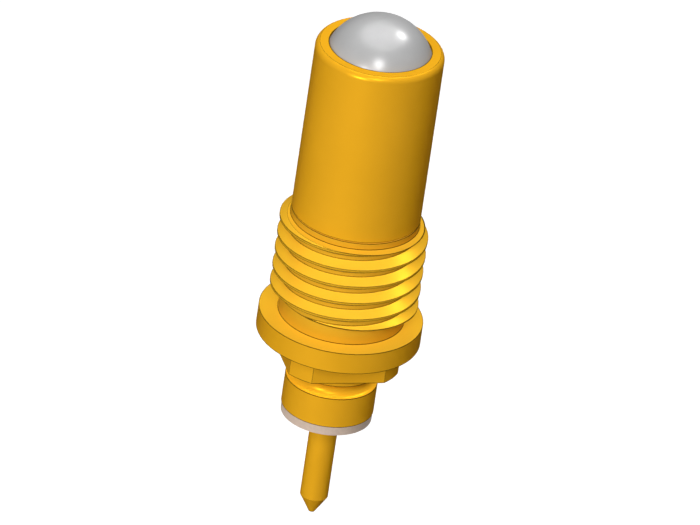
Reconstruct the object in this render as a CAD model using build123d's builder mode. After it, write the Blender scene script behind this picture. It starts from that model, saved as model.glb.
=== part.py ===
from build123d import *
import math
import os

# A screw-in test probe: its ball is pressed in against a spring and closes a switch to the rear pin.
# Sizes are in millimetres. +Z is the probe's axis and points to the ball.
# The origin is the middle of the flange face that seats on the fixture plate.

# Thread, the neck under it and the plain land above it
thread_diameter = 8.0
thread_pitch = 1.0
thread_length = 4.79
thread_turn = -32.6
neck_diameter = 6.75
relief_length = 1.05
land_length = 0.43

# Fine groove round the top of the land, which the sleeve's end closes to a thin seam
seam_width = 0.06
seam_depth = 0.2

# Flange, wrench flats and tail
flange_diameter = 8.8
flange_thickness = 1.2
wrench_diameter = 7.2
wrench_length = 1.4
across_flats = 6.0
flat_count = 4
tail_diameter = 4.96
tail_length = 3.04

# Rolled groove that locks the insulator in the tail
crimp_width = 0.78
crimp_height = 2.12
crimp_wall = 0.36

# Bores of the body
spring_bore_diameter = 5.2
tail_bore_diameter = 4.0
shoulder_height = 1.6

# Front sleeve, whose lip keeps the ball in
sleeve_diameter = 6.9
sleeve_length = 9.98
rim_round_radius = 0.42
rim_round_height = 0.37

# Ball, its depth under the rim and its way in
ball_diameter = 6.0
ball_depth = 1.33
ball_travel = 1.5
stop_gap = 0.05

# Cup under the ball
cup_rim_depth = 1.3
cup_floor = 1.3
boss_diameter = 3.2
boss_length = 1.2

# Spring with closed and ground ends
wire_diameter = 0.5
active_turns = 6
closed_turns = 1
closed_gap = 0.02
ground_depth = 0.3

# Stem that carries the switch contact
stem_diameter = 1.2
stem_grip = 1.9
stem_tip_round = 0.3

# Guide bush that the spring stands on
bush_flange_thickness = 0.6
bush_shank_length = 1.2

# Insulating tube round the socket
tube_wall = 0.65
tube_end_wall = 0.4
tube_hole_diameter = 1.6

# Terminal pin, whose inner end is a socket
pin_diameter = 1.5
pin_length = 6.08
pin_root_diameter = 2.0
pin_root_inset = 0.15
pin_point_diameter = 0.34
pin_point_angle = 60
socket_wall = 0.36
socket_depth = 1.6
socket_end_gap = 0.05
contact_gap = 0.3

# Spring clip in the socket
clip_length = 1.4
clip_band = 0.25
clip_thickness = 0.1
clip_slots = 8
clip_slot_width = 0.18

# Rear insulator
insulator_diameter = 4.88
insulator_rim_thickness = 0.5
insulator_plug_length = 3.05

# Clearances on the radius, and the chamfers that lead pieces in
running_gap = 0.04
spring_gap = 0.15
seat_gap = 0.03
fixed_gap = 0.01
lead_in = 0.15

# Radii that several pieces share
thread_radius = thread_diameter / 2
ball_radius = ball_diameter / 2
cavity_radius = ball_radius + running_gap
stem_radius = stem_diameter / 2
pin_radius = pin_diameter / 2
pin_root_radius = pin_root_diameter / 2
tail_radius = tail_diameter / 2
tail_bore = tail_bore_diameter / 2
spring_bore = spring_bore_diameter / 2
plug_radius = tail_bore - fixed_gap
tube_bore = plug_radius - tube_wall
socket_radius = tube_bore - fixed_gap
socket_bore = socket_radius - socket_wall

# Heights along the axis
relief_top = relief_length
thread_top = relief_top + thread_length
seam = thread_top + land_length
rim = seam + sleeve_length
ball_centre = rim - ball_depth
cup_rim = ball_centre - cup_rim_depth
cup_base = ball_centre - ball_radius - seat_gap - cup_floor
boss_base = cup_base - boss_length
spigot_top = cup_base - ball_travel - stop_gap
bush_top = shoulder_height + bush_flange_thickness
bush_base = shoulder_height - bush_shank_length
flange_base = -flange_thickness
wrench_base = flange_base - wrench_length
tail_end = wrench_base - tail_length
crimp_middle = tail_end + crimp_height
plug_top = tail_end + insulator_plug_length
socket_top = bush_base - tube_end_wall - socket_end_gap
socket_floor = socket_top - socket_depth
stem_tip = socket_top + contact_gap
insulator_end = tail_end - insulator_rim_thickness
pin_root_end = insulator_end + pin_root_inset
pin_end = insulator_end - pin_length

# The thread has the basic ISO profile: 60 degree flanks, crests an eighth of the pitch wide
flank_slope = math.tan(math.radians(30))
thread_depth = 5 / 8 * thread_pitch * math.sqrt(3) / 2
thread_root = thread_radius - thread_depth

# The tail's wall keeps its thickness where the groove is rolled into it
crimp_radius = crimp_width / 2
bulge_radius = crimp_radius + crimp_wall

os.makedirs("parts", exist_ok=True)


# Thread: a groove cut round a plain ring, which runs out through both of its flat ends
with BuildPart() as thread_ring:
    with Locations((0, 0, relief_top)):
        Cylinder(
            thread_radius,
            thread_length,
            align=(Align.CENTER, Align.CENTER, Align.MIN),
        )
    groove_start = relief_top - 0.55 * thread_pitch
    cutter_radius = thread_radius + 0.08 * thread_pitch
    root_half = thread_pitch / 8
    mouth_half = root_half + (cutter_radius - thread_root) * flank_slope
    with BuildLine() as groove_path:
        Helix(
            pitch=thread_pitch,
            height=thread_length + 1.1 * thread_pitch,
            radius=thread_root,
            center=(0, 0, groove_start),
        )
    with BuildSketch(Plane.XZ):
        with BuildLine():
            Polyline(
                (thread_root, groove_start - root_half),
                (cutter_radius, groove_start - mouth_half),
                (cutter_radius, groove_start + mouth_half),
                (thread_root, groove_start + root_half),
                close=True,
            )
        make_face()
    sweep(path=groove_path.line, is_frenet=True, mode=Mode.SUBTRACT)
    with Locations((0, 0, relief_top)):
        Cylinder(
            spring_bore,
            thread_length,
            align=(Align.CENTER, Align.CENTER, Align.MIN),
            mode=Mode.SUBTRACT,
        )


# Threaded body: one turned piece, from the spigot inside the sleeve to the tail
with BuildPart() as threaded_body:
    neck_radius = neck_diameter / 2
    land_radius = sleeve_diameter / 2
    wrench_radius = wrench_diameter / 2
    flange_radius = flange_diameter / 2
    spigot_radius = cavity_radius - fixed_gap
    with BuildSketch(Plane.XZ):
        with BuildLine():
            Polyline(
                (tail_bore, tail_end),
                (tail_radius, tail_end),
                (tail_radius, wrench_base),
                (wrench_radius, wrench_base),
                (wrench_radius, flange_base),
                (flange_radius, flange_base),
                (flange_radius, 0),
                (neck_radius, 0),
                (neck_radius, thread_top),
                (land_radius, thread_top),
                (land_radius, seam - seam_width),
                (land_radius - seam_depth, seam - seam_width),
                (land_radius - seam_depth, seam),
                (spigot_radius, seam),
                (spigot_radius, spigot_top - lead_in),
                (spigot_radius - lead_in, spigot_top),
                (spring_bore, spigot_top),
                (spring_bore, shoulder_height),
                (tail_bore, shoulder_height),
                close=True,
            )
        make_face()
        with Locations((tail_radius, crimp_middle)):
            Circle(bulge_radius)
            Rectangle(
                bulge_radius,
                2 * bulge_radius,
                align=(Align.MIN, Align.CENTER),
                mode=Mode.SUBTRACT,
            )
            Circle(crimp_radius, mode=Mode.SUBTRACT)
    revolve(axis=Axis.Z)
    add(thread_ring.part, rotation=(0, 0, thread_turn))
    # the flats are milled on the drum between flange and tail, and stop at both
    with BuildSketch(Plane.XY.offset(wrench_base)):
        Circle(wrench_diameter)
        RegularPolygon(
            across_flats / 2,
            flat_count,
            major_radius=False,
            rotation=180 / flat_count,
            mode=Mode.SUBTRACT,
        )
    extrude(amount=wrench_length, mode=Mode.SUBTRACT)
threaded_body.part.label = "threaded_body"
export_step(threaded_body.part, "parts/threaded_body.step")


# Front sleeve: a tube fixed on the body's spigot, with a lip closed in round the ball
with BuildPart() as front_sleeve:
    sleeve_radius = sleeve_diameter / 2
    lip_angle = math.degrees(math.asin(ball_depth / cavity_radius))
    rim_angle = math.degrees(math.asin(rim_round_height / rim_round_radius))
    with BuildSketch(Plane.XZ):
        with BuildLine():
            lip = CenterArc((0, ball_centre), cavity_radius, 0, lip_angle)
            rim_arc = CenterArc(
                (sleeve_radius - rim_round_radius, rim - rim_round_height),
                rim_round_radius,
                0,
                rim_angle,
            )
            Line(lip @ 1, rim_arc @ 1)
            Polyline(
                rim_arc @ 0,
                (sleeve_radius, seam),
                (cavity_radius, seam),
                lip @ 0,
            )
        make_face()
    revolve(axis=Axis.Z)
front_sleeve.part.label = "front_sleeve"
export_step(front_sleeve.part, "parts/front_sleeve.step")


# Ball: it stands proud of the rim, rolls in the cup and is pressed in by what it meets
with BuildPart() as ball:
    with Locations((0, 0, ball_centre)):
        Sphere(ball_radius)
ball.part.label = "ball"
export_step(ball.part, "parts/ball.step")


# Ball cup: a piston with a hollow seat for the ball and a boss that centres the spring
with BuildPart() as ball_cup:
    boss_radius = boss_diameter / 2
    with BuildSketch(Plane.XZ):
        with BuildLine():
            Polyline(
                (0, boss_base),
                (boss_radius - lead_in, boss_base),
                (boss_radius, boss_base + lead_in),
                (boss_radius, cup_base),
                (ball_radius - lead_in, cup_base),
                (ball_radius, cup_base + lead_in),
                (ball_radius, cup_rim),
                (0, cup_rim),
                close=True,
            )
        make_face()
    revolve(axis=Axis.Z)
    with Locations((0, 0, ball_centre)):
        Sphere(ball_radius + seat_gap, mode=Mode.SUBTRACT)
    with Locations((0, 0, boss_base)):
        Cylinder(
            stem_radius + fixed_gap,
            stem_grip,
            align=(Align.CENTER, Align.CENTER, Align.MIN),
            mode=Mode.SUBTRACT,
        )
ball_cup.part.label = "ball_cup"
export_step(ball_cup.part, "parts/ball_cup.step")


# Contact stem: a rod pressed into the cup, whose round tip is the moving contact of the switch
with BuildPart() as contact_stem:
    with Locations((0, 0, stem_tip)):
        Cylinder(
            stem_radius,
            boss_base + stem_grip - stem_tip,
            align=(Align.CENTER, Align.CENTER, Align.MIN),
        )
    fillet(contact_stem.edges().group_by(Axis.Z)[0], stem_tip_round)
contact_stem.part.label = "contact_stem"
export_step(contact_stem.part, "parts/contact_stem.step")


# Main spring: closed turns at both ends, ground flat where they meet the bush and the cup
with BuildPart() as main_spring:
    wire_radius = wire_diameter / 2
    spring_radius = spring_bore - spring_gap - wire_radius
    spring_start = bush_top + wire_radius - ground_depth
    spring_end = cup_base - wire_radius + ground_depth
    closed_pitch = wire_diameter + closed_gap
    closed_height = closed_turns * closed_pitch
    active_height = spring_end - spring_start - 2 * closed_height
    with BuildLine() as wire_path:
        turn_start = spring_start
        for turn_pitch, turn_height in (
            (closed_pitch, closed_height),
            (active_height / active_turns, active_height),
            (closed_pitch, closed_height),
        ):
            Helix(turn_pitch, turn_height, spring_radius, center=(0, 0, turn_start))
            turn_start += turn_height
    with BuildSketch(wire_path.line ^ 0):
        Circle(wire_radius)
    sweep(path=wire_path.line, is_frenet=True)
    split(bisect_by=Plane.XY.offset(bush_top), keep=Keep.TOP)
    split(bisect_by=Plane.XY.offset(cup_base), keep=Keep.BOTTOM)
main_spring.part.label = "main_spring"
export_step(main_spring.part, "parts/main_spring.step")


# Guide bush: it hangs in the tail bore by its flange, guides the stem and carries the spring
with BuildPart() as guide_bush:
    bush_radius = spring_bore - running_gap
    bush_hole = stem_radius + running_gap
    with BuildSketch(Plane.XZ):
        with BuildLine():
            Polyline(
                (bush_hole, bush_base),
                (plug_radius - lead_in, bush_base),
                (plug_radius, bush_base + lead_in),
                (plug_radius, shoulder_height),
                (bush_radius, shoulder_height),
                (bush_radius, bush_top),
                (bush_hole, bush_top),
                close=True,
            )
        make_face()
    revolve(axis=Axis.Z)
guide_bush.part.label = "guide_bush"
export_step(guide_bush.part, "parts/guide_bush.step")


# Insulating tube: it keeps the socket clear of the body, and its end wall stands under the bush
with BuildPart() as insulating_tube:
    tube_hole = tube_hole_diameter / 2
    with BuildSketch(Plane.XZ):
        with BuildLine():
            Polyline(
                (tube_bore, plug_top),
                (plug_radius, plug_top),
                (plug_radius, bush_base),
                (tube_hole, bush_base),
                (tube_hole, bush_base - tube_end_wall),
                (tube_bore, bush_base - tube_end_wall),
                close=True,
            )
        make_face()
    revolve(axis=Axis.Z)
insulating_tube.part.label = "insulating_tube"
export_step(insulating_tube.part, "parts/insulating_tube.step")


# Rear insulator: a plug held by the rolled groove, with the rim that closes the tail
with BuildPart() as rear_insulator:
    insulator_radius = insulator_diameter / 2
    with BuildSketch(Plane.XZ):
        with BuildLine():
            Polyline(
                (pin_radius + fixed_gap, insulator_end),
                (insulator_radius, insulator_end),
                (insulator_radius, tail_end),
                (plug_radius, tail_end),
                (plug_radius, plug_top),
                (pin_root_radius + fixed_gap, plug_top),
                (pin_root_radius + fixed_gap, pin_root_end),
                (pin_radius + fixed_gap, pin_root_end),
                close=True,
            )
        make_face()
        with Locations((tail_radius, crimp_middle)):
            Circle(bulge_radius + fixed_gap, mode=Mode.SUBTRACT)
    revolve(axis=Axis.Z)
rear_insulator.part.label = "rear_insulator"
export_step(rear_insulator.part, "parts/rear_insulator.step")


# Terminal pin: its socket head and thicker root sit in the insulator, and the shank ends in a point
with BuildPart() as terminal_pin:
    point_radius = pin_point_diameter / 2
    point_length = (pin_radius - point_radius) / math.tan(math.radians(pin_point_angle / 2))
    with BuildSketch(Plane.XZ):
        with BuildLine():
            Polyline(
                (0, pin_end),
                (point_radius, pin_end),
                (pin_radius, pin_end + point_length),
                (pin_radius, pin_root_end),
                (pin_root_radius, pin_root_end),
                (pin_root_radius, plug_top),
                (socket_radius, plug_top),
                (socket_radius, socket_top),
                (socket_bore, socket_top),
                (socket_bore, socket_floor),
                (0, socket_floor),
                close=True,
            )
        make_face()
    revolve(axis=Axis.Z)
terminal_pin.part.label = "terminal_pin"
export_step(terminal_pin.part, "parts/terminal_pin.step")


# Contact clip: a slit spring band in the socket, bowed in to grip the stem when the ball is pressed
with BuildPart() as contact_clip:
    band_radius = socket_bore - fixed_gap
    waist_radius = stem_radius + seat_gap + clip_thickness
    clip_top = socket_floor + clip_length
    clip_middle = socket_floor + clip_length / 2
    with BuildSketch(Plane.XZ):
        with BuildLine():
            outer_bow = ThreePointArc(
                (band_radius, clip_top - clip_band),
                (waist_radius, clip_middle),
                (band_radius, socket_floor + clip_band),
            )
            inner_bow = ThreePointArc(
                (band_radius - clip_thickness, clip_top - clip_band),
                (waist_radius - clip_thickness, clip_middle),
                (band_radius - clip_thickness, socket_floor + clip_band),
            )
            Polyline(
                outer_bow @ 0,
                (band_radius, clip_top),
                (band_radius - clip_thickness, clip_top),
                inner_bow @ 0,
            )
            Polyline(
                outer_bow @ 1,
                (band_radius, socket_floor),
                (band_radius - clip_thickness, socket_floor),
                inner_bow @ 1,
            )
        make_face()
    revolve(axis=Axis.Z)
    with BuildSketch(Plane.XY.offset(socket_floor + clip_band)):
        with PolarLocations(band_radius, clip_slots):
            Rectangle(band_radius, clip_slot_width)
    extrude(amount=clip_length - 2 * clip_band, mode=Mode.SUBTRACT)
contact_clip.part.label = "contact_clip"
export_step(contact_clip.part, "parts/contact_clip.step")
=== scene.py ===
# %% [markdown]
# # A screw-in test probe with a ball tip
# The real thing is a small gold-plated probe, 30 mm long, that screws into the plate of a test fixture.
# A steel ball stands out of its sleeve, and what comes against the ball presses it in against a spring.
# The imported CAD model already has every rigid piece at its size and place. So this script dresses it: it
# loads those solids, lights them, gives each one its finish, and models the soft piece, the spring, once
# more as a mesh of its own.

# %% Load the imported model
import math

import bmesh
import bpy
from mathutils import Matrix, Vector


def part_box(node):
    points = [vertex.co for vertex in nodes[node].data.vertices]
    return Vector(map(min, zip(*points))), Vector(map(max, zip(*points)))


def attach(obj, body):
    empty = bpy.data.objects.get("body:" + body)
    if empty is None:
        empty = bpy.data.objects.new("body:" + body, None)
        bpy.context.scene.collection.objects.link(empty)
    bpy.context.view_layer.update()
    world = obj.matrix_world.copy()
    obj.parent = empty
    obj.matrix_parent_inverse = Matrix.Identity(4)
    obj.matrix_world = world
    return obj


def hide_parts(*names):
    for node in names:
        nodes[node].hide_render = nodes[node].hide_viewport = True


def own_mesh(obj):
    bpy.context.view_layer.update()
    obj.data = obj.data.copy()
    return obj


MM_PER_M = 1000

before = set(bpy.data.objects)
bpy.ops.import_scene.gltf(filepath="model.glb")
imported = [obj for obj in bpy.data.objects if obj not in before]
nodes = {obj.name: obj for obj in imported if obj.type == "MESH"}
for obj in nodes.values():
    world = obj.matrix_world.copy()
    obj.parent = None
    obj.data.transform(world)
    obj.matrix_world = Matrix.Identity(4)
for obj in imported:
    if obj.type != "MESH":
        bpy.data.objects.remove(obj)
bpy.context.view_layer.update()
print("pieces:", ", ".join(sorted(nodes)))

# %% [markdown]
# ## The camera
# The photograph shows no perspective, as a drawing does. A very long lens far away comes close to that, and
# unlike Blender's orthographic camera it still fits the whole probe when someone looks at another side.
# The probe leans to the right in the picture. The probe itself has to stay upright in its own frame, so it
# is the camera that rolls.

# %% Directions of the view
VIEW_AZIMUTH = math.radians(-17.7)
VIEW_ELEVATION = math.radians(29.28)
VIEW_ROLL = math.radians(8.49)

towards = Vector((math.sin(VIEW_AZIMUTH), -math.cos(VIEW_AZIMUTH), 0))
level_right = Vector((math.cos(VIEW_AZIMUTH), math.sin(VIEW_AZIMUTH), 0))
look = -towards * math.cos(VIEW_ELEVATION)
look.z = -math.sin(VIEW_ELEVATION)
level_up = level_right.cross(look)
right = level_right * math.cos(VIEW_ROLL) + level_up * math.sin(VIEW_ROLL)
up = level_up * math.cos(VIEW_ROLL) - level_right * math.sin(VIEW_ROLL)
print("the camera looks along", [round(v, 3) for v in look])

# %% Place the camera
PICTURE_WIDTH = 0.0371
AIM_RIGHT = 0.000476
AIM_UP = 0.002644
LENS_MM = 1250
SENSOR_MM = 36

scene = bpy.context.scene
camera_data = bpy.data.cameras.new("camera")
camera_data.lens = LENS_MM
camera_data.sensor_width = SENSOR_MM
distance = PICTURE_WIDTH * LENS_MM / SENSOR_MM
camera_data.clip_start = distance / 100
camera_data.clip_end = distance * 10
camera = bpy.data.objects.new("camera", camera_data)
scene.collection.objects.link(camera)
aim = right * AIM_RIGHT + up * AIM_UP
turn = Matrix((right, up, -look)).transposed().to_4x4()
camera.matrix_world = Matrix.Translation(aim - look * distance) @ turn
scene.camera = camera
print("the camera stands", round(distance, 3), "m away")

# %% [markdown]
# ## Lamps
# Turned metal is judged by its shading: one soft peak along the barrel, and a fall to both sides. Four discs
# of light give that. Each is described by where it stands as seen from the camera, in degrees to the right
# and upwards, by its width and by how much it gives. Level 1 lights a white sheet that faces the lamp to
# exactly white, so that every colour comes out about as bright as it is written.
# A real shadow from above would bury the thread's roots and the neck between thread and flange, and the
# photograph has none there. So the two lamps behind shine without shadows, and the two in front keep
# theirs. A ray that meets a lamp by chance can still be stopped by a piece, so a lamp without a shadow is
# only sampled directly, and its multiple importance sampling goes off as well.

# %% Make a soft lamp
LAMP_REACH = 0.4

scene.view_settings.view_transform = "Standard"


def soft_lamp(name, azimuth, elevation, size, level, shadow=True):
    side = math.sin(math.radians(azimuth)) * math.cos(math.radians(elevation))
    near = math.cos(math.radians(azimuth)) * math.cos(math.radians(elevation))
    direction = level_right * side + towards * near
    direction.z = math.sin(math.radians(elevation))
    data = bpy.data.lights.new(name, "AREA")
    data.shape = "DISK"
    data.size = size
    data.energy = level * math.pi**2 * (LAMP_REACH**2 + (size / 2) ** 2)
    data.use_shadow = shadow
    data.cycles.use_multiple_importance_sampling = shadow
    lamp = bpy.data.objects.new(name, data)
    lamp.location = direction * LAMP_REACH
    lamp.rotation_mode = "QUATERNION"
    lamp.rotation_quaternion = direction.to_track_quat("Z", "Y")
    scene.collection.objects.link(lamp)
    print(name, "shines with", round(data.energy, 2), "W")


# %% Set the lamps round the probe
soft_lamp("front_lamp", azimuth=-27, elevation=12, size=0.14, level=0.69)
soft_lamp("key_lamp", azimuth=2, elevation=38, size=0.12, level=0.34)
soft_lamp("top_lamp", azimuth=180, elevation=78, size=0.54, level=0.7, shadow=False)
soft_lamp("glint_lamp", azimuth=133, elevation=51, size=0.08, level=0.3, shadow=False)

# %% [markdown]
# ## The white room
# The product stands before pure white. A white sheet behind it would show from one side only, and a white
# world would also wash out the metal with its light. So this world shines only for rays that come from the
# eye, straight or by way of a reflection or a clear piece, and adds nothing to the lamps.

# %% Tell the eye's rays from the others


def seen_by_the_eye(tree):
    path = tree.nodes.new("ShaderNodeLightPath")
    mirrored = tree.nodes.new("ShaderNodeMath")
    mirrored.operation = "MAXIMUM"
    tree.links.new(path.outputs["Is Camera Ray"], mirrored.inputs[0])
    tree.links.new(path.outputs["Is Glossy Ray"], mirrored.inputs[1])
    seen = tree.nodes.new("ShaderNodeMath")
    seen.operation = "MAXIMUM"
    tree.links.new(mirrored.outputs[0], seen.inputs[0])
    tree.links.new(path.outputs["Is Transmission Ray"], seen.inputs[1])
    return seen.outputs[0]


# %% Paint the room white
world = bpy.data.worlds.new("studio")
scene.world = world
world.use_nodes = True
room = world.node_tree
white = room.nodes["Background"]
white.inputs["Color"].default_value = (1, 1, 1, 1)
room.links.new(seen_by_the_eye(room), white.inputs["Strength"])
print("the room is white for the eye only")

# %% [markdown]
# ## The floor
# The photograph has no floor, only white. A floor close under the probe would bring a shadow into that
# picture, so this one is a pale disc far enough below. The lamps light it to a little under white, and a
# glow that only the eye sees adds the rest, so the shadow stays where it falls. It throws no light back up,
# because the undersides in the photograph are dark.

# %% Lay the floor
FLOOR_DEPTH = 0.1
FLOOR_RADIUS = 1.5
FLOOR_SIDES = 96

disc = bmesh.new()
bmesh.ops.create_circle(
    disc,
    cap_ends=True,
    segments=FLOOR_SIDES,
    radius=FLOOR_RADIUS,
    matrix=Matrix.Translation((0, 0, -FLOOR_DEPTH)),
)
floor_mesh = bpy.data.meshes.new("floor")
disc.to_mesh(floor_mesh)
disc.free()
floor = bpy.data.objects.new("floor", floor_mesh)
floor.visible_diffuse = False
scene.collection.objects.link(floor)
print("the floor lies", MM_PER_M * FLOOR_DEPTH, "mm below the flange")

# %% Colour the floor
FLOOR_GREY = 0.8
FLOOR_ROUGHNESS = 0.9
FLOOR_GLOW = 0.42

paper = bpy.data.materials.new("floor_paper")
paper.use_nodes = True
paper_tree = paper.node_tree
sheet = paper_tree.nodes["Principled BSDF"]
sheet.inputs["Base Color"].default_value = (FLOOR_GREY, FLOOR_GREY, FLOOR_GREY, 1)
sheet.inputs["Roughness"].default_value = FLOOR_ROUGHNESS
sheet.inputs["Specular IOR Level"].default_value = 0.0
sheet.inputs["Emission Color"].default_value = (1, 1, 1, 1)
glow = paper_tree.nodes.new("ShaderNodeMath")
glow.operation = "MULTIPLY"
glow.inputs[1].default_value = FLOOR_GLOW
paper_tree.links.new(seen_by_the_eye(paper_tree), glow.inputs[0])
paper_tree.links.new(glow.outputs[0], sheet.inputs["Emission Strength"])
floor_mesh.materials.append(paper)
print("the floor glows at", FLOOR_GLOW)

# %% [markdown]
# ## Helpers for the finishes
# Every finish is one Principled shader with a few textures on it. The textures read Object coordinates, in
# metres, so a pattern has its real size and turns and slides with its piece. A noise with a scale of
# 1000 has features of about a millimetre. Its values seldom leave the middle of the range from 0 to 1, so
# that middle is spread over the whole span of a colour or a roughness.

# %% Start a finish


def start_finish(name, metallic):
    material = bpy.data.materials.new(name)
    material.use_nodes = True
    tree = material.node_tree
    shader = tree.nodes["Principled BSDF"]
    shader.inputs["Metallic"].default_value = metallic
    place = tree.nodes.new("ShaderNodeTexCoord").outputs["Object"]
    return material, tree, shader, place


# %% A noise in space


def noise(tree, place, scale, detail):
    node = tree.nodes.new("ShaderNodeTexNoise")
    node.inputs["Scale"].default_value = scale
    node.inputs["Detail"].default_value = detail
    tree.links.new(place, node.inputs["Vector"])
    return node.outputs["Fac"]


# %% A colour and a roughness that follow a noise
NOISE_LOW = 0.3
NOISE_HIGH = 0.7


def colour_between(tree, factor, first, second):
    node = tree.nodes.new("ShaderNodeValToRGB")
    start, end = node.color_ramp.elements
    start.position = NOISE_LOW
    start.color = (*first, 1)
    end.position = NOISE_HIGH
    end.color = (*second, 1)
    tree.links.new(factor, node.inputs["Fac"])
    return node.outputs["Color"]


def vary_colour(tree, shader, factor, first, second):
    tree.links.new(colour_between(tree, factor, first, second), shader.inputs["Base Color"])


def vary_roughness(tree, shader, factor, low, high):
    node = tree.nodes.new("ShaderNodeMapRange")
    node.inputs["From Min"].default_value = NOISE_LOW
    node.inputs["From Max"].default_value = NOISE_HIGH
    node.inputs["To Min"].default_value = low
    node.inputs["To Max"].default_value = high
    tree.links.new(factor, node.inputs["Value"])
    tree.links.new(node.outputs["Result"], shader.inputs["Roughness"])


# %% A second colour where a mask is set


def painted_over(tree, mask, tone, colour):
    node = tree.nodes.new("ShaderNodeMix")
    node.data_type = "RGBA"
    tree.links.new(mask, node.inputs["Factor"])
    tree.links.new(tone, node.inputs["A"])
    node.inputs["B"].default_value = (*colour, 1)
    return node.outputs["Result"]


# %% Relief that is too fine to model


def relief(tree, shader, height, depth):
    node = tree.nodes.new("ShaderNodeBump")
    node.inputs["Distance"].default_value = depth
    node.inputs["Strength"].default_value = 1.0
    tree.links.new(height, node.inputs["Height"])
    tree.links.new(node.outputs["Normal"], shader.inputs["Normal"])


# %% Dress a node of the CAD model


def dress(material, *names):
    for name in names:
        mesh = nodes[name].data
        mesh.materials.clear()
        mesh.materials.append(material)
        print(material.name, "on", name, "with", len(mesh.polygons), "faces")


# %% [markdown]
# ## Gold plating on turned brass
# The lathe leaves fine rings: along the barrel they follow the height, and on the flange the distance from
# the axis. The sum of the two runs round every turned face, so one noise along that sum makes the marks for
# the whole piece, where a picture of rings would have to be fitted to each face.
# Every sharp edge and crease is painted darker: painted shade lines, like the dark outlines of a product
# picture.
# Such lines could be painted by hand or modelled as bevels. Here the Bevel node finds them: the normal that
# it rounds leaves the true one only near an edge.
# A pure metal would mirror the white room and turn pale. The photograph shows a satin gold with one soft
# peak, so only a small share is metal, and the rest is plain colour. From the seat up that colour is painted
# a little yellower: a painted highlight for the yellow shine on the thread and seat, which also holds back
# the orange of light bounced between them.

# %% Rings left by the lathe
RING_DEPTH = 0.0000004
RING_DETAIL = 2.0


def lathe_rings(tree, place, scale):
    flat = tree.nodes.new("ShaderNodeVectorMath")
    flat.operation = "MULTIPLY"
    flat.inputs[1].default_value = (1, 1, 0)
    tree.links.new(place, flat.inputs[0])
    radius = tree.nodes.new("ShaderNodeVectorMath")
    radius.operation = "LENGTH"
    tree.links.new(flat.outputs["Vector"], radius.inputs[0])
    height = tree.nodes.new("ShaderNodeSeparateXYZ")
    tree.links.new(place, height.inputs[0])
    along = tree.nodes.new("ShaderNodeMath")
    along.operation = "ADD"
    tree.links.new(radius.outputs["Value"], along.inputs[0])
    tree.links.new(height.outputs["Z"], along.inputs[1])
    rings = tree.nodes.new("ShaderNodeTexNoise")
    rings.noise_dimensions = "1D"
    rings.inputs["Scale"].default_value = scale
    rings.inputs["Detail"].default_value = RING_DETAIL
    tree.links.new(along.outputs[0], rings.inputs["W"])
    return rings.outputs["Fac"]


# %% A mask along sharp edges and creases, for the painted shade lines
EDGE_WIDTH = 0.00008
EDGE_SAMPLES = 8
COSINE_OF_NO_EDGE = 0.99
COSINE_OF_FULL_EDGE = 0.972


def sharp_edges(tree):
    rounded = tree.nodes.new("ShaderNodeBevel")
    rounded.samples = EDGE_SAMPLES
    rounded.inputs["Radius"].default_value = EDGE_WIDTH
    true = tree.nodes.new("ShaderNodeNewGeometry")
    same = tree.nodes.new("ShaderNodeVectorMath")
    same.operation = "DOT_PRODUCT"
    tree.links.new(rounded.outputs["Normal"], same.inputs[0])
    tree.links.new(true.outputs["Normal"], same.inputs[1])
    edge = tree.nodes.new("ShaderNodeMapRange")
    edge.inputs["From Min"].default_value = COSINE_OF_NO_EDGE
    edge.inputs["From Max"].default_value = COSINE_OF_FULL_EDGE
    tree.links.new(same.outputs["Value"], edge.inputs["Value"])
    return edge.outputs["Result"]


# %% A mask above a height


def above_height(tree, place, level):
    height = tree.nodes.new("ShaderNodeSeparateXYZ")
    tree.links.new(place, height.inputs[0])
    above = tree.nodes.new("ShaderNodeMath")
    above.operation = "GREATER_THAN"
    above.inputs[1].default_value = level
    tree.links.new(height.outputs["Z"], above.inputs[0])
    return above.outputs[0]


# %% Make the plating
GOLD_METAL = 0.2
GOLD_ROUGHNESS = (0.29, 0.33)
# Painted highlight: a yellower gold above the flange top stands in for the yellow shine on thread and seat.
HIGHLIGHT_TINT_GOLD = (0.66, 0.365, 0.021)
HIGHLIGHT_TINT_HEIGHT = -0.00001


def gold_plating(name, dull, bright, shade_line_colour, highlight_tint=False):
    material, tree, shader, place = start_finish(name, GOLD_METAL)
    shader.inputs["Specular IOR Level"].default_value = 0.0
    shader.inputs["Specular Tint"].default_value = (0, 0, 0, 1)
    patches = noise(tree, place, scale=260, detail=3.0)
    tone = colour_between(tree, patches, dull, bright)
    # Painted highlight: above the flange top the tone turns yellower, in place of a yellow shine from the
    # lamps.
    if highlight_tint:
        tone = painted_over(tree, above_height(tree, place, HIGHLIGHT_TINT_HEIGHT), tone, HIGHLIGHT_TINT_GOLD)
    # Painted shade: every sharp edge and crease gets the dark shade line colour, drawn like an outline.
    shade_lined = painted_over(tree, sharp_edges(tree), tone, shade_line_colour)
    tree.links.new(shade_lined, shader.inputs["Base Color"])
    rings = lathe_rings(tree, place, scale=9000)
    vary_roughness(tree, shader, rings, *GOLD_ROUGHNESS)
    relief(tree, shader, rings, RING_DEPTH)
    return material


# %% Plate the sleeve, the body and the contacts
DULL_GOLD = (0.70, 0.345, 0.0125)
BRIGHT_GOLD = (0.735, 0.363, 0.0145)
# The two dark colours below are painted shade lines along edges and creases, not a colour of the plating.
SHADE_LINE_GOLD = (0.09, 0.055, 0.004)
DULL_CONTACT = (0.78, 0.46, 0.05)
BRIGHT_CONTACT = (0.82, 0.50, 0.07)
SHADE_LINE_CONTACT = (0.45, 0.27, 0.04)

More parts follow.
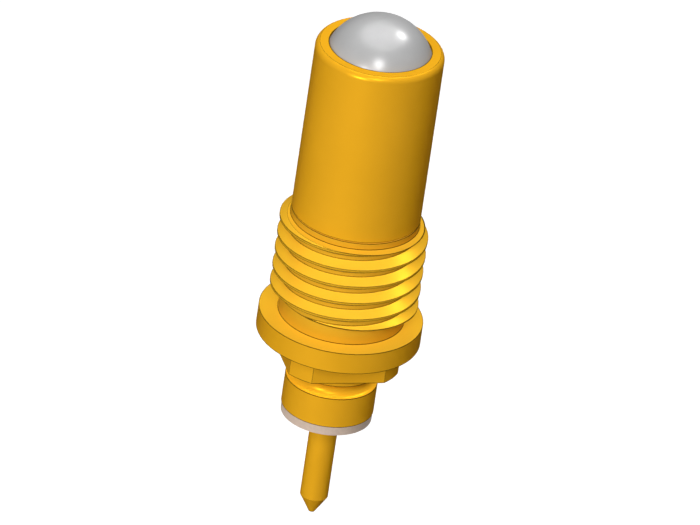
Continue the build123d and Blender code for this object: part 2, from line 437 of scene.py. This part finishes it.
plating = gold_plating("gold_plating", DULL_GOLD, BRIGHT_GOLD, SHADE_LINE_GOLD)
dress(plating, "front_sleeve", "terminal_pin")
body_gold = gold_plating("body_gold", DULL_GOLD, BRIGHT_GOLD, SHADE_LINE_GOLD, highlight_tint=True)
dress(body_gold, "threaded_body")
contact_gold = gold_plating("contact_gold", DULL_CONTACT, BRIGHT_CONTACT, SHADE_LINE_CONTACT)
dress(contact_gold, "contact_stem", "contact_clip")

# %% [markdown]
# ## The steel ball
# A bearing ball is ground and lapped, so it has no rings, only a very fine even grain. As a full metal it
# would show the whole white room. The photograph's ball is a soft grey with two bright spots, so a quarter
# of metal is enough: it gives the spots of the lamps and leaves the grey to the plain colour.

# %% Ground steel
BALL_METAL = 0.25
BALL_TINT = 0.3
BALL_ROUGHNESS = (0.285, 0.31)
BALL_GRAIN_DEPTH = 0.0000003
DULL_STEEL = (0.365, 0.365, 0.367)
BRIGHT_STEEL = (0.4, 0.4, 0.402)

steel, tree, shader, place = start_finish("ball_steel", BALL_METAL)
shader.inputs["Specular IOR Level"].default_value = 0.0
shader.inputs["Specular Tint"].default_value = (BALL_TINT, BALL_TINT, BALL_TINT, 1)
clouds = noise(tree, place, scale=500, detail=4.0)
vary_colour(tree, shader, clouds, DULL_STEEL, BRIGHT_STEEL)
grain = noise(tree, place, scale=30000, detail=2.0)
vary_roughness(tree, shader, grain, *BALL_ROUGHNESS)
relief(tree, shader, grain, BALL_GRAIN_DEPTH)
dress(steel, "ball")

# %% [markdown]
# ## The plastic pieces
# The insulator at the tail is a filled engineering plastic, grey with a pink cast and slightly speckled by
# its filler. The specks are finer than a pixel of the picture, so they aren't modelled: one fine noise
# changes the colour, the gloss and the relief together.
# The tube inside is a plain white fluoropolymer, waxy and matt. Paint of that colour would look like chalk,
# so a part of the light goes below the surface.

# %% Filled plastic
FILLED_SPECULAR = 0.25
FILLER_RELIEF = 0.000002
DARK_FILLED = (0.59, 0.46, 0.375)
LIGHT_FILLED = (0.66, 0.52, 0.425)

filled, tree, shader, place = start_finish("filled_plastic", metallic=0.0)
shader.inputs["Specular IOR Level"].default_value = FILLED_SPECULAR
specks = noise(tree, place, scale=6000, detail=3.0)
vary_colour(tree, shader, specks, DARK_FILLED, LIGHT_FILLED)
vary_roughness(tree, shader, specks, low=0.5, high=0.6)
relief(tree, shader, specks, FILLER_RELIEF)
dress(filled, "rear_insulator")

# %% White fluoropolymer
SUBSURFACE_SHARE = 0.2
SUBSURFACE_RADIUS = (0.0004, 0.0004, 0.0003)
DARK_WAX = (0.80, 0.79, 0.76)
LIGHT_WAX = (0.86, 0.85, 0.82)

waxy, tree, shader, place = start_finish("white_fluoropolymer", metallic=0.0)
shader.inputs["Subsurface Weight"].default_value = SUBSURFACE_SHARE
shader.inputs["Subsurface Radius"].default_value = SUBSURFACE_RADIUS
haze = noise(tree, place, scale=900, detail=2.0)
vary_colour(tree, shader, haze, DARK_WAX, LIGHT_WAX)
vary_roughness(tree, shader, haze, low=0.4, high=0.5)
dress(waxy, "insulating_tube")

# %% [markdown]
# ## Plain turned metals inside
# The ball's cup is a bronze that slides well, and the guide bush is bare brass. Both were turned, so the
# rings of the gold serve again, only deeper, because no plating fills them. One function makes both metals
# from two colours each.

# %% Bare turned metal
BARE_METAL = 0.8
BARE_RING_DEPTH = 3 * RING_DEPTH
DULL_BRONZE = (0.42, 0.20, 0.08)
BRIGHT_BRONZE = (0.52, 0.27, 0.12)
DULL_BRASS = (0.60, 0.40, 0.14)
BRIGHT_BRASS = (0.68, 0.48, 0.20)


def turned_metal(name, dull, bright):
    material, tree, shader, place = start_finish(name, BARE_METAL)
    tarnish = noise(tree, place, scale=700, detail=4.0)
    vary_colour(tree, shader, tarnish, dull, bright)
    rings = lathe_rings(tree, place, scale=7000)
    vary_roughness(tree, shader, rings, low=0.3, high=0.42)
    relief(tree, shader, rings, BARE_RING_DEPTH)
    return material


dress(turned_metal("bearing_bronze", DULL_BRONZE, BRIGHT_BRONZE), "ball_cup")
dress(turned_metal("bare_brass", DULL_BRASS, BRIGHT_BRASS), "guide_bush")

# %% [markdown]
# ## The spring
# The spring is the one piece that changes shape, so its CAD solid is replaced by a mesh of its own. A curve
# with a round section would give a coil, but its ends can't be cut. So a ring of wire is spun about the axis
# instead, and lifted a little at each step. The spring has one closed turn at each end, and these are ground
# flat where they stand on the bush and under the cup: a cut with a plane does what the grinding wheel does.

# %% Measures of the spring
WIRE_RADIUS = 0.00025
WIRE_SIDES = 12
COIL_RADIUS = 0.0022
ACTIVE_TURNS = 6
CLOSED_TURNS = 1
CLOSED_PITCH = 0.00052
GROUND_OVERLAP = 0.00005
STEPS_PER_TURN = 40

spring_low, spring_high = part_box("main_spring")
coil_start = spring_low.z - GROUND_OVERLAP
coil_end = spring_high.z + GROUND_OVERLAP
closed_height = CLOSED_TURNS * CLOSED_PITCH
active_height = coil_end - coil_start - 2 * closed_height
low_mm = round(MM_PER_M * spring_low.z, 2)
high_mm = round(MM_PER_M * spring_high.z, 2)
print("the spring stands from", low_mm, "to", high_mm, "mm")

# %% Wind the coil
coil = bmesh.new()
bmesh.ops.create_circle(
    coil,
    cap_ends=True,
    segments=WIRE_SIDES,
    radius=WIRE_RADIUS,
    matrix=Matrix.Translation((COIL_RADIUS, 0, coil_start)) @ Matrix.Rotation(math.pi / 2, 4, "X"),
)
windings = (
    (CLOSED_TURNS, closed_height),
    (ACTIVE_TURNS, active_height),
    (CLOSED_TURNS, closed_height),
)
wire_end = coil.verts[:] + coil.edges[:]
for turns, height in windings:
    steps = turns * STEPS_PER_TURN
    wound = bmesh.ops.spin(
        coil,
        geom=wire_end,
        cent=(0, 0, 0),
        axis=(0, 0, 1),
        dvec=(0, 0, height / steps),
        angle=2 * math.pi * turns,
        steps=steps,
        use_merge=False,
        use_duplicate=False,
    )
    wire_end = [part for part in wound["geom_last"] if not isinstance(part, bmesh.types.BMFace)]
last_edges = [part for part in wire_end if isinstance(part, bmesh.types.BMEdge)]
bmesh.ops.edgeloop_fill(coil, edges=last_edges)
print("the coil has", len(coil.faces), "faces")

# %% Grind the ends flat
for end, outward in ((spring_low.z, -1), (spring_high.z, 1)):
    cut = bmesh.ops.bisect_plane(
        coil,
        geom=coil.verts[:] + coil.edges[:] + coil.faces[:],
        plane_co=(0, 0, end),
        plane_no=(0, 0, outward),
        clear_outer=True,
    )
    rim_edges = [part for part in cut["geom_cut"] if isinstance(part, bmesh.types.BMEdge)]
    bmesh.ops.edgeloop_fill(coil, edges=rim_edges)
bmesh.ops.recalc_face_normals(coil, faces=coil.faces[:])
print("ground, it has", len(coil.faces), "faces")

# %% Smooth the wire and make it an object
SKIN_CORNERS = 4

for face in coil.faces:
    face.smooth = len(face.verts) <= SKIN_CORNERS
spring_mesh = bpy.data.meshes.new("coil_spring")
coil.to_mesh(spring_mesh)
coil.free()
spring = bpy.data.objects.new("coil_spring", spring_mesh)
scene.collection.objects.link(spring)
flat_faces = [face for face in spring_mesh.polygons if not face.use_smooth]
print("the wire is smooth, and", len(flat_faces), "faces at its ground ends stay flat")

# %% [markdown]
# ## Spring wire
# Wire is drawn through a die, which leaves it bright and slightly streaky. Streaks along a coil would need
# coordinates that follow it. They are as fine as the wire's grain, so a plain noise does for them.

# %% Drawn steel wire
WIRE_METAL = 0.9
STREAK_DEPTH = 0.0000006
DULL_WIRE = (0.46, 0.47, 0.49)
BRIGHT_WIRE = (0.56, 0.57, 0.59)

drawn, tree, shader, place = start_finish("drawn_wire", WIRE_METAL)
streaks = noise(tree, place, scale=9000, detail=3.0)
vary_colour(tree, shader, streaks, DULL_WIRE, BRIGHT_WIRE)
vary_roughness(tree, shader, streaks, low=0.25, high=0.38)
relief(tree, shader, streaks, STREAK_DEPTH)
spring_mesh.materials.append(drawn)
print(drawn.name, "on", spring.name)

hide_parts("main_spring")
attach(spring, "probe_body")
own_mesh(spring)
